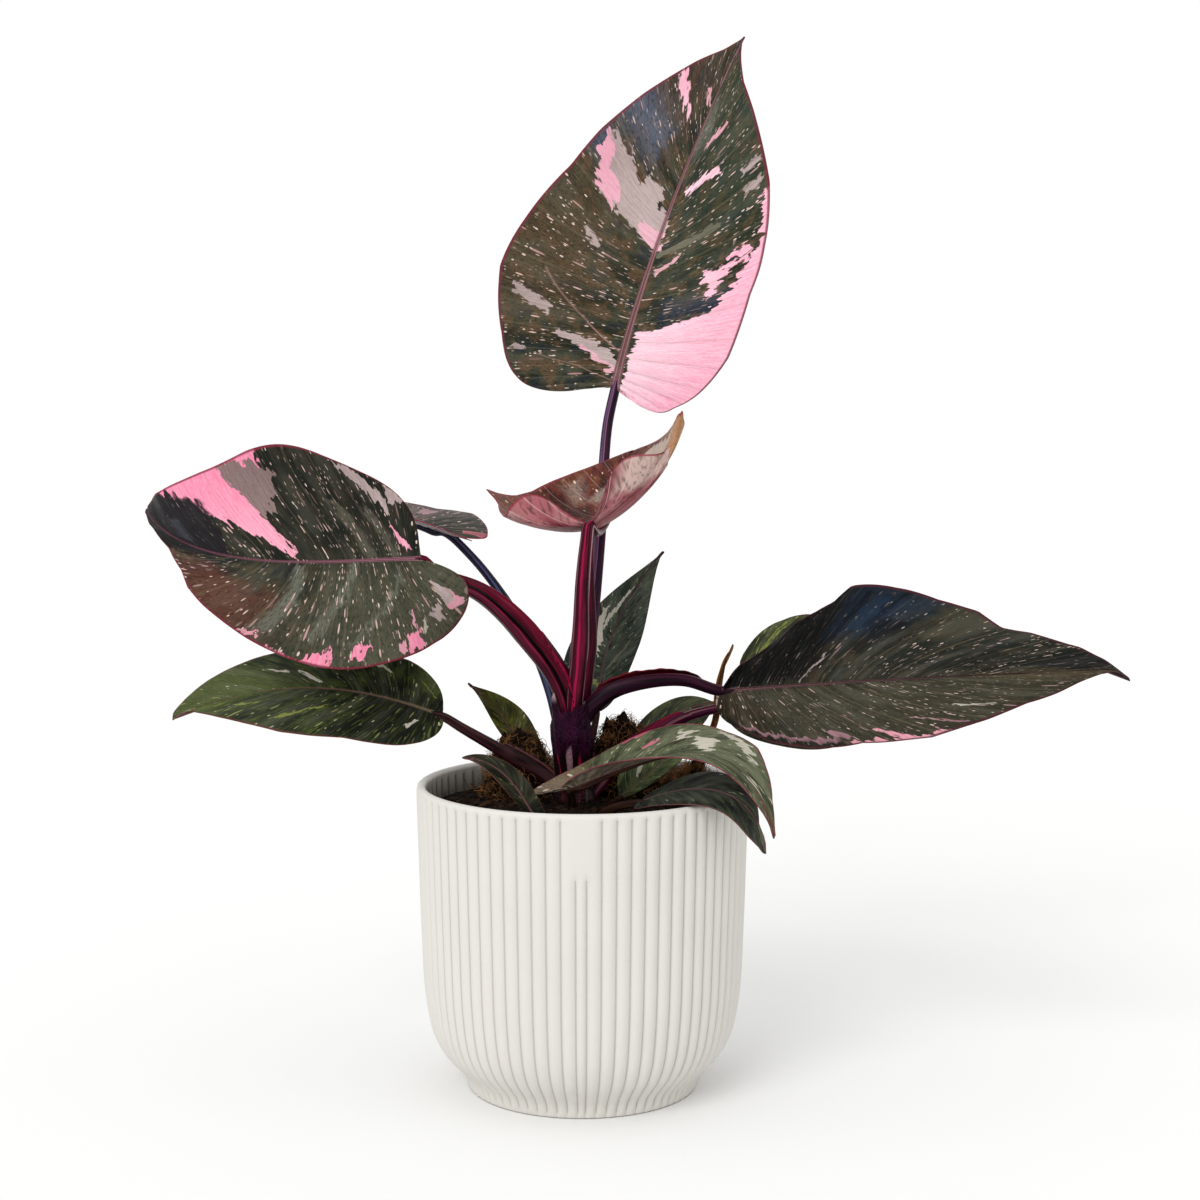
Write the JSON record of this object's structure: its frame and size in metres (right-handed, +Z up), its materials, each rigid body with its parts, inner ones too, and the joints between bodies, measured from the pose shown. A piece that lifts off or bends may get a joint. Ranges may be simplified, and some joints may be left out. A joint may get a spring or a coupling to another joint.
{
  "type": "potted pink princess philodendron",
  "caption": "Dark-leaved aroid house plant with pink variegation, standing in a round ribbed pot filled with soil.",
  "frame": {"origin": "centre of the pot's flat underside", "axes": "+Z up out of the pot, -Y towards the side of the pot with the bare patch and the narrow rib, +X to the right seen from there"},
  "size_m": [0.403, 0.1438, 0.445],
  "materials": {
    "pot": "matte",
    "soil": "matte",
    "moss": "matte",
    "stem": "satin",
    "husk": "matte",
    "stalks": "satin",
    "leaf_dark": "satin",
    "leaf_green": "satin",
    "leaf_young": "satin",
    "leaf_sage": "satin"
  },
  "bodies": {
    "root": {"pot": "pot", "soil": "soil", "moss_left": "moss", "moss_right": "moss", "crown": "stem", "husk": "husk", "top_leaf": "leaf_dark", "top_leaf_stalk": "stalks", "young_leaf": "leaf_young", "young_leaf_stalk": "stalks", "left_leaf": "leaf_dark", "left_leaf_stalk": "stalks", "hidden_leaf": "leaf_dark", "hidden_leaf_stalk": "stalks", "low_left_leaf": "leaf_green", "low_left_leaf_stalk": "stalks", "right_leaf": "leaf_dark", "right_leaf_stalk": "stalks", "rear_right_leaf": "leaf_green", "rear_right_leaf_stalk": "stalks", "centre_leaf": "leaf_green", "centre_leaf_stalk": "stalks", "rear_left_leaf": "leaf_green", "rear_left_leaf_stalk": "stalks", "front_left_leaf": "leaf_green", "front_left_leaf_stalk": "stalks", "front_leaf": "leaf_sage", "front_leaf_stalk": "stalks", "rim_leaf": "leaf_dark", "rim_leaf_stalk": "stalks", "inner_front_leaf": "leaf_green", "inner_front_leaf_stalk": "stalks", "inner_right_leaf": "leaf_green", "inner_right_leaf_stalk": "stalks"}
  },
  "joints": []
}
